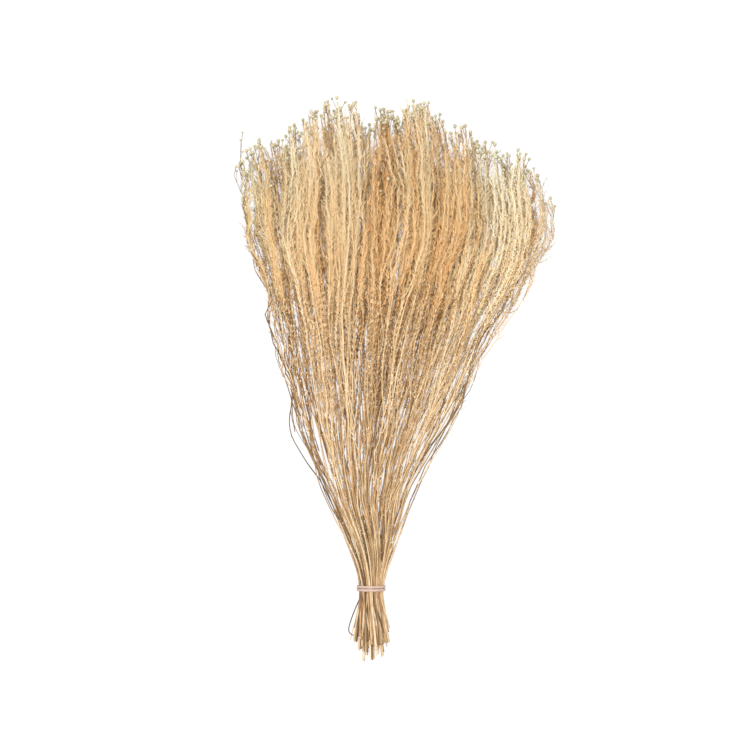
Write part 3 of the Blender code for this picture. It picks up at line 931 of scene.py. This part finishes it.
# %% [markdown]
# One thin dead twig leaves its stem just below the band, bows out to the left and comes back.

# %% The bent twig
# Place along Y and distance to the left of its stem, in mm
BENT_TWIG = np.array((
    (-186, 0.3), (-193, -2.2), (-201, -4.6), (-209, -6.8), (-214, -7.6), (-217, -6), (-219, -2.2),
))
BENT_TWIG_RADIUS = 0.6 * MM
FEET_READ_AT = -205 * MM


def rounded(points, times=2):
    """Corners cut off at a quarter and three quarters of each side, a few times over."""
    for _ in range(times):
        near = 0.75 * points[:-1] + 0.25 * points[1:]
        far = 0.25 * points[:-1] + 0.75 * points[1:]
        middle = np.stack((near, far), axis=1).reshape(-1, points.shape[1])
        points = np.concatenate((points[:1], middle, points[-1:]))
    return points


def bent_twig(stem, strands):
    """A thin tube along the stem's own line, moved to the left as BENT_TWIG says."""
    y, left = rounded(BENT_TWIG).T * MM
    path = strand_points(stem, strands, np.zeros(len(y), int), y)
    path[:, 0] += left
    radii = np.linspace(1, 0.7, len(y))[None] * BENT_TWIG_RADIUS
    return tubes(path[None], radii, 6, np.full((1, len(y)), 0.04), BARK)


leftmost = int(np.argmin([fibre(stem.u, stem.v, np.array(FEET_READ_AT))[0] for stem in stems]))
print("the bent twig is on stem", leftmost + 1)


# %% [markdown]
# ## Flower heads
#
# The twigs that reach the outline of the tips end in loose clusters: thin stalks that lean outwards,
# each with a small round head of papery bracts. A head is about 3 mm wide. Three rings of six points
# and two poles give it a waist, a crown and a lobed rim in 36 faces, so hundreds of them stay light.

# %% Stalks and heads
HEAD_LENGTH = 3.1 * MM
HEAD_RADIUS = 1.5 * MM
LOBED = 0.14
STALK_LENGTH = (4, 12)
STALK_LEAN = (0.2, 0.65)
STALK_DOWN = (0, 7)
DOWN_ON_WISPS = 3
HEAD_SIZES = (0.75, 1.15)
WISP_HEAD = 0.7
STALK_CURL = np.array((0, 0.12, 0))
STALK_RADII = np.array((0.42, 0.3, 0.3)) * MM
NEAR_OUTLINE = 14 * MM

# How far along the head each ring lies, and its width as a share of HEAD_RADIUS
HEAD_RINGS = np.array(((0.14, 0.62), (0.5, 1.0), (0.86, 0.7)))

# What the tints of the three rings, and of the foot and the top, add to that of the head
RING_TINTS = np.array((-0.25, 0.2, 0.1))
POLE_TINTS = (-0.25, -0.2)
LOBE_TINT = 0.07


def head_clusters(stem, strands, rng):
    """One stalk at a strand's tip and a few that leave it just below and lean out.

    Strands that end near the outline of the tips have up to three. One in four of the others
    has one, and a bare wisp has three.
    """
    each = np.arange(len(strands.start))
    ends = strand_points(stem, strands, each, strands.tip)
    below = np.interp(ends[:, 0], TIPS[:, 0], TIPS[:, 1]) - strands.tip
    few, many = rng.integers((-2, 0), (2, 4), (len(each), 2)).T
    counts = np.where(below > NEAR_OUTLINE, np.maximum(few, 0), many)
    counts[strands.leafy == 0] = 3
    k = np.repeat(np.arange(len(counts)), counts)
    order = np.arange(len(k)) - np.repeat(np.cumsum(counts) - counts, counts)
    top = order == 0
    length = np.where(top, STALK_LENGTH[0], rng.uniform(*STALK_LENGTH, len(k))) * MM
    leafy = strands.leafy[k] > 0
    down = rng.uniform(*STALK_DOWN, len(k)) * MM * np.where(leafy, 1, DOWN_ON_WISPS)
    down = np.where(top, 0, down)
    lean = np.where(top, 0.05, rng.uniform(*STALK_LEAN, len(k)))
    y = strands.tip[k] - HEAD_LENGTH - length * np.cos(lean) - down
    angle = order * GOLDEN + rng.uniform(0, TURN) + k
    here, along, _ = side_shoot(stem, strands, k, y, angle, lean, length + HEAD_LENGTH)
    tint = np.clip(rng.normal(0.5, 0.2, len(k)), 0.05, 0.95)
    size = rng.uniform(*HEAD_SIZES, len(k)) * np.where(leafy, 1, WISP_HEAD)
    return here, along, length, size, tint


def stalks_and_heads(stem, strands, rng):
    """Stalks bend slightly upwards, p + l (s · along + s² · STALK_CURL), and each carries a head."""
    here, along, length, size, tint = head_clusters(stem, strands, rng)
    s = np.linspace(0, 1, 3)[:, None]
    path = here[:, None] + length[:, None, None] * (s * along[:, None] + s * s * STALK_CURL)
    stalks = tubes(path, STALK_RADII * size[:, None], 3, tint[:, None] * 0.3, BARK)
    return [stalks, heads(path[:, -1], unit(along + 2 * STALK_CURL), size, tint)]


def heads(base, axis, size, tint):
    """Closed six-sided ovals. Their rings have three lobes: r (1 + LOBED cos 3a)."""
    sides = 6
    angle = TURN * np.arange(sides) / sides
    lobes = 1 + LOBED * np.cos(3 * angle)
    out = all_round(axis, angle)
    rings = []
    for rise, wide in HEAD_RINGS:
        middle = base + axis * (rise * HEAD_LENGTH * size)[:, None]
        reach = (wide * HEAD_RADIUS * size)[:, None, None]
        rings.append(middle[:, None] + out * reach * lobes[:, None])
    poles = np.stack((base, base + axis * (HEAD_LENGTH * size)[:, None]), axis=1)
    points = np.concatenate((*rings, poles), axis=1).reshape(-1, 3)
    steps = (RING_TINTS[:, None] + LOBE_TINT * np.cos(angle)).ravel()
    shade = (tint[:, None] * 0.5 + 0.25 + np.append(steps, POLE_TINTS)).ravel()
    return Surface(points, tube_faces(len(base), len(HEAD_RINGS), sides), shade, HEAD, np.zeros((1, 3)))


# %% [markdown]
# ## One mesh for each stem
#
# A stem with its twigs, leaves and heads is one natural piece, so it becomes one object. Each
# surface keeps its own material slot. A number at every point, the tint, tells the materials how
# pale or brown that point is. The map that comes with it lays each point out by what sets its
# colour: its place along the bunch, and its tint within the band of its own slot.

# %% Join surfaces into a mesh
MAP_BANDS = ((0.01, 0.28), (0.31, 0.66), (0.69, 0.93), (0.95, 0.99))


def joined(surfaces):
    """The points, triangles, tints, slots and plume directions of several surfaces, put end to end."""
    starts = np.cumsum([0] + [len(s.points) for s in surfaces[:-1]])
    points = np.concatenate([s.points for s in surfaces])
    faces = np.concatenate([s.faces + start for s, start in zip(surfaces, starts)])
    tint = np.concatenate([s.tint for s in surfaces])
    slots = np.concatenate([np.broadcast_to(s.slot, len(s.faces)) for s in surfaces]).astype(np.int32)
    outward = np.concatenate([np.broadcast_to(s.outward, (len(s.faces), 3)) for s in surfaces])
    return points, faces, tint, slots, outward


# %% [markdown]
# Each leaf is flat shaded, and a plume of flat leaves looks like gravel. On the real plant the
# leaves are soft and a little see-through, and light passes from one to the next. Turning each
# leaf's normal towards the way that its plume faces gives that softness and adds no faces.

# %% Normals eased to the plume
EASED = 3.5


def eased_normals(points, faces, outward):
    """n + EASED × o at each corner, where o is ± outward on the side that the face looks to.

    Zero stands for a surface that keeps its own normals.
    """
    corners = points[faces]
    normal = unit(np.cross(corners[:, 1] - corners[:, 0], corners[:, 2] - corners[:, 0]))
    side = np.sign((normal * outward).sum(axis=1, keepdims=True))
    eased = unit(normal + EASED * side * outward)
    eased[(outward == 0).all(axis=1)] = 0
    return np.repeat(eased, 3, axis=0)


# %% The mesh of a stem
def mesh_object(name, surfaces, materials):
    """A new object with the surfaces in its mesh, put there with foreach_set."""
    points, faces, tint, slots, outward = joined(surfaces)
    mesh = bpy.data.meshes.new(name)
    mesh.vertices.add(len(points))
    mesh.vertices.foreach_set("co", points.astype(np.float32).ravel())
    mesh.loops.add(faces.size)
    mesh.loops.foreach_set("vertex_index", faces.astype(np.int32).ravel())
    mesh.polygons.add(len(faces))
    mesh.polygons.foreach_set("loop_start", np.arange(0, faces.size, 3, dtype=np.int32))
    mesh.polygons.foreach_set("material_index", slots)
    mesh.polygons.foreach_set("use_smooth", slots != LEAF)
    mesh.update(calc_edges=True)
    mesh.attributes.new("tint", "FLOAT", "POINT").data.foreach_set("value", tint.astype(np.float32))
    band = np.array(MAP_BANDS)[np.repeat(slots, 3)]
    corner = faces.ravel()
    along = points[corner, 1] / LENGTH + 0.5
    across = band[:, 0] + (band[:, 1] - band[:, 0]) * np.clip(tint[corner], 0, 1)
    layout = np.stack((along, across), axis=1).astype(np.float32)
    mesh.uv_layers.new(name="OFBake").uv.foreach_set("vector", layout.ravel())
    mesh.normals_split_custom_set(eased_normals(points, faces, outward).tolist())
    for material in materials:
        mesh.materials.append(material)
    return placed(name, mesh)


# %% [markdown]
# ## Colours
#
# Dried staavia is tan at its feet, peach among its leaves and cream at its tips. Twigs differ, and a
# few are darker and more orange. So bark and leaves first read the place along the bunch, and then
# multiply that colour by one that the tint picks. Both are colour ramps on numbers, so the
# pattern stays on the plant when it moves.

# %% Material helpers
def linear(red, green, blue):
    """A colour given as it looks on a screen, 0 to 255, as the amount of light it sends back."""
    c = np.array((red, green, blue)) / 255
    return (*np.where(c <= 0.04045, c / 12.92, ((c + 0.055) / 1.055) ** 2.4), 1.0)


def new_material(name, roughness):
    """A material with its Principled shader ready, and a helper that adds a linked node."""
    material = bpy.data.materials.new(name)
    material.use_nodes = True
    tree = material.node_tree
    shader = tree.nodes["Principled BSDF"]
    shader.inputs["Roughness"].default_value = roughness
    shader.inputs["Specular IOR Level"].default_value = 0.3

    def node(kind, inputs=(), **settings):
        new = tree.nodes.new(kind)
        for key, value in settings.items():
            setattr(new, key, value)
        for socket, value in dict(inputs).items():
            if isinstance(value, bpy.types.NodeSocket):
                tree.links.new(value, new.inputs[socket])
            else:
                new.inputs[socket].default_value = value
        return new

    return material, shader, node


def ramp(node, factor, stops):
    """A colour ramp through stops. Each is a place, and the colour there as it looks on a screen."""
    new = node("ShaderNodeValToRGB", {"Fac": factor})
    elements = new.color_ramp.elements
    while len(elements) < len(stops):
        elements.new(0.5)
    for element, (place, *colour) in zip(elements, stops):
        element.position = place
        element.color = linear(*colour)
    return new.outputs["Color"]


def multiplied(node, a, b):
    """The product of two colours."""
    new = node("ShaderNodeMix", data_type="RGBA", blend_type="MULTIPLY")
    new.inputs["Factor"].default_value = 1
    tree = new.id_data
    tree.links.new(a, new.inputs[6])
    tree.links.new(b, new.inputs[7])
    return new.outputs[2]


def place_of(node):
    """The place of each point on the plant."""
    return node("ShaderNodeTexCoord").outputs["Object"]


def way_along(node, axis, half_length):
    """0 at half_length before the middle of an axis, and 1 at half_length beyond it."""
    value = node("ShaderNodeSeparateXYZ", {0: place_of(node)}).outputs[axis]
    limits = {"Value": value, "From Min": -half_length, "From Max": half_length}
    return node("ShaderNodeMapRange", limits).outputs["Result"]


def noise(node, place, scale, detail):
    """A soft random pattern, 0 to 1, with scale lumps in a unit of place and detail finer layers."""
    inputs = {"Vector": place, "Scale": scale, "Detail": detail}
    return node("ShaderNodeTexNoise", inputs).outputs["Fac"]


def tint_of(node):
    """The tint at each point."""
    return node("ShaderNodeAttribute", attribute_name="tint").outputs["Fac"]


# %% [markdown]
# Bark is tan with fine streaks along the stem. A noise that is stretched along Y gives the streaks,
# and the same noise roughens the surface. Leaves are too small to need a pattern of their own: their
# colour changes from leaf to leaf, and along and across the bunch.


# %% Bark, leaves and heads
PLUMES_HALF_WIDTH = 125 * MM


def bark_material():
    """Tan at the feet to straw at the tips, darkened in streaks, with a fine bump."""
    material, shader, node = new_material("staavia bark", 0.72)
    # The ramp dips darker from 0.08 to 0.28, round the band and above it: painted shade between the
    # crowded stems
    base = ramp(node, way_along(node, "Y", LENGTH / 2), (
        (0.0, 234, 219, 198), (0.08, 231, 215, 191), (0.13, 222, 205, 179),
        (0.28, 238, 221, 193), (0.4, 247, 233, 208), (0.7, 252, 228, 190),
        (1.0, 236, 222, 192),
    ))
    toned = multiplied(node, base, ramp(node, tint_of(node), (
        (0.0, 78, 66, 48), (0.2, 154, 119, 80), (0.45, 224, 195, 156),
        (0.75, 244, 228, 200), (1.0, 255, 250, 238),
    )))
    stretched = {"Vector": place_of(node), "Scale": (900, 70, 900)}
    streak = noise(node, node("ShaderNodeMapping", stretched).outputs[0], 1.0, 3.0)
    streaks = ramp(node, streak, ((0.3, 205, 190, 170), (0.62, 255, 255, 255)))
    tree = material.node_tree
    tree.links.new(multiplied(node, toned, streaks), shader.inputs["Base Color"])
    bump = node("ShaderNodeBump", {"Height": streak, "Strength": 0.5, "Distance": 0.25 * MM})
    tree.links.new(bump.outputs["Normal"], shader.inputs["Normal"])
    return material


def leaf_material():
    """Pale tan low on the bunch, peach above its middle and cream at its tips, by twig browner or
    paler. The leaves are brownest right of the middle and have weathered cooler at the sides."""
    material, shader, node = new_material("staavia leaves", 0.6)
    base = ramp(node, way_along(node, "Y", LENGTH / 2), (
        (0.2, 246, 240, 224), (0.45, 246, 236, 213), (0.65, 232, 208, 168),
        (0.85, 218, 208, 180), (1.0, 235, 240, 233),
    ))
    toned = multiplied(node, base, ramp(node, tint_of(node), (
        (0.0, 236, 160, 92), (0.25, 248, 196, 136), (0.5, 250, 219, 177),
        (0.75, 250, 234, 208), (1.0, 252, 247, 235),
    )))
    weathered = ramp(node, way_along(node, "X", PLUMES_HALF_WIDTH), (
        (0.0, 236, 250, 255), (0.2, 243, 243, 242), (0.42, 240, 237, 233),
        (0.63, 236, 228, 216), (0.82, 250, 254, 255), (1.0, 253, 255, 255),
    ))
    material.node_tree.links.new(multiplied(node, toned, weathered), shader.inputs["Base Color"])
    return material


def head_material():
    """Greenish at the base of a head, cream on its bracts and a little brown in its middle."""
    material, shader, node = new_material("staavia heads", 0.65)
    base = ramp(node, tint_of(node), (
        (0.0, 86, 82, 55), (0.3, 133, 125, 88), (0.55, 170, 159, 117),
        (0.9, 205, 192, 150),
    ))
    material.node_tree.links.new(base, shader.inputs["Base Color"])
    return material


def cut_wood_material():
    """The pale inside of a cut stem, with finer and coarser grain."""
    material, shader, node = new_material("cut wood", 0.8)
    grain = noise(node, place_of(node), 1500.0, 2.0)
    colour = ramp(node, grain, ((0.35, 226, 196, 156), (0.65, 248, 228, 196)))
    material.node_tree.links.new(colour, shader.inputs["Base Color"])
    return material


plant = (bark_material(), leaf_material(), head_material(), cut_wood_material())
print("materials:", [material.name for material in plant])

# %% [markdown]
# ## Dress the stems
#
# Each stem is drawn with a random generator of its own seed. The same stem then comes out the same
# every time, and one stem can be changed while the others stay.

# %% Forty dressed stems
triangles = 0
heads_made = 0
for number, stem in enumerate(stems, 1):
    rng = np.random.default_rng(3000 + number)
    strands = stem_strands(stem, rng)
    surfaces = wood(stem, strands, rng)
    surfaces += [stubs(stem, strands, rng), leaves(stem, strands, rng), *branchlets(stem, strands, rng)]
    if number - 1 == leftmost:
        surfaces.append(bent_twig(stem, strands))
    surfaces += stalks_and_heads(stem, strands, rng)
    piece = mesh_object(f"leafy_stem_{number:02d}", surfaces, plant)
    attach(piece, "root")
    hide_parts(f"stem_{number:02d}")
    triangles += len(piece.data.polygons)
    heads_made += len(surfaces[-1].faces) // 36
print("triangles on stems:", triangles, "heads:", heads_made)

# %% [markdown]
# ## The rubber band
#
# One pale band goes twice round the stems. Its two turns lie side by side and change sides below the
# bunch, where one passes over the other. It is a closed loop, so a flat oval section is carried
# once along a path that winds round twice.

# %% The band's path and section
BAND_WIDTH = 2.4 * MM
BAND_THICKNESS = 1.3 * MM
BAND_GAP = 0.25 * MM
BAND_EDGES = 0.9
TIE_CLEARANCE = 0.45 * MM
TIE_CROSSING = 0.045


def band_path(steps):
    """x and z go round twice, y is ± half a width and changes sides where cos 2πt passes 0."""
    t = np.arange(steps) / steps
    angle = 2 * TURN * t + np.pi / 2
    side = np.tanh(4 * np.cos(TURN * t)) * (BAND_WIDTH + BAND_GAP) / 2
    over = (BAND_THICKNESS + BAND_GAP) * np.exp(-(((t - 0.25) / TIE_CROSSING) ** 2))
    columns = (CENTRE, HALF_WIDTH, HEIGHT)
    x, half_width, z = (section(np.array(TIE_ALONG), column) for column in columns)
    radius = half_width + STEM_RADIUS + TIE_CLEARANCE + BAND_THICKNESS / 2 + over
    out = np.stack((np.cos(angle), np.zeros(steps), np.sin(angle)), axis=1)
    path = np.array((x, TIE_ALONG, z)) + radius[:, None] * out
    path[:, 1] += side
    return path, out


def rubber_band(steps=220, sides=14):
    """The section is a flat oval, |cos|^0.7 wide and |sin|^0.8 thick, which rounds its corners.

    It is BAND_EDGES as wide as the solid, so the two turns show a thin dark line between them.
    """
    path, out = band_path(steps)
    angle = TURN * (np.arange(sides) + 0.5) / sides
    wide = np.sign(np.cos(angle)) * np.abs(np.cos(angle)) ** 0.7 * BAND_WIDTH / 2 * BAND_EDGES
    thick = np.sign(np.sin(angle)) * np.abs(np.sin(angle)) ** 0.8 * BAND_THICKNESS / 2
    points = path[:, None] + thick[:, None] * out[:, None] + wide[:, None] * np.array((0, 1.0, 0))
    i = np.arange(steps)[:, None] * sides
    after = (np.arange(steps)[:, None] + 1) % steps * sides
    j = np.arange(sides)
    beside = (j + 1) % sides
    quads = np.stack((i + j, after + j, after + beside, i + beside), axis=-1).reshape(-1, 4)
    mesh = bpy.data.meshes.new("rubber_band")
    mesh.from_pydata(points.reshape(-1, 3).tolist(), [], quads.tolist())
    mesh.shade_smooth()
    return placed("rubber_band", mesh)


def rubber_material():
    """Pale pinkish beige, a little mottled, with a soft dull sheen."""
    material, shader, node = new_material("pale rubber", 0.55)
    mottle = noise(node, place_of(node), 420.0, 3.0)
    colour = ramp(node, mottle, ((0.3, 168, 135, 118), (0.7, 186, 155, 138)))
    tree = material.node_tree
    tree.links.new(colour, shader.inputs["Base Color"])
    bump = node("ShaderNodeBump", {"Height": mottle, "Strength": 0.3, "Distance": 0.1 * MM})
    tree.links.new(bump.outputs["Normal"], shader.inputs["Normal"])
    return material


band = rubber_band()
band.data.materials.append(rubber_material())
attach(band, "root")
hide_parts("tie_band")
print("band faces:", len(band.data.polygons))

# %% [markdown]
# ## Table and light
#
# The photograph's ground is plain white, also in the gaps between the stems, and its light comes from
# all sides. A white table would be grey in those gaps, because the bunch shades it. So the table
# glows, like the light tables that small things are photographed on, and sends back little of the
# light that falls on it. The wide soft lamp hangs close beside the camera: its light then reaches
# every twig that the camera sees, and the shadows fall behind them. A lamp from the side would
# leave the gaps dark. An even sky fills in.

# %% Table, sky and lamp
TABLE_SIDE = 8.0
TABLE_REFLECTS = 0.1
TABLE_GLOW = 0.91
SKY_LIGHT = 0.6
LAMP_PLACE = (-0.2, 0.26, 3.2)
LAMP_SIDE = 1.0
LAMP_POWER = 135
GAMMA = 1.25


def table():
    """A plain square top that glows like a light table."""
    half = TABLE_SIDE / 2
    corners = [(-half, -half, 0), (half, -half, 0), (half, half, 0), (-half, half, 0)]
    mesh = bpy.data.meshes.new("table")
    mesh.from_pydata(corners, [], [(0, 1, 2, 3)])
    material, shader, _ = new_material("white table", 0.9)
    shader.inputs["Base Color"].default_value = (*[TABLE_REFLECTS] * 3, 1)
    shader.inputs["Emission Color"].default_value = (1.0, 1.0, 1.0, 1)
    shader.inputs["Emission Strength"].default_value = TABLE_GLOW
    mesh.materials.append(material)
    top = placed("table", mesh)


def lamp():
    """A square lamp, turned to face the middle of the bunch."""
    light = bpy.data.lights.new("soft lamp", "AREA")
    light.size = LAMP_SIDE
    light.energy = LAMP_POWER
    new = placed("soft lamp", light)
    new.location = LAMP_PLACE
    new.rotation_euler = (-new.location).to_track_quat("-Z", "Y").to_euler()


table()
lamp()
sky = bpy.data.worlds.new("sky")
sky.use_nodes = True
sky.node_tree.nodes["Background"].inputs["Color"].default_value = (1.0, 1.0, 1.0, 1)
sky.node_tree.nodes["Background"].inputs["Strength"].default_value = SKY_LIGHT
bpy.context.scene.world = sky
bpy.context.scene.view_settings.view_transform = "Standard"
bpy.context.scene.view_settings.gamma = GAMMA
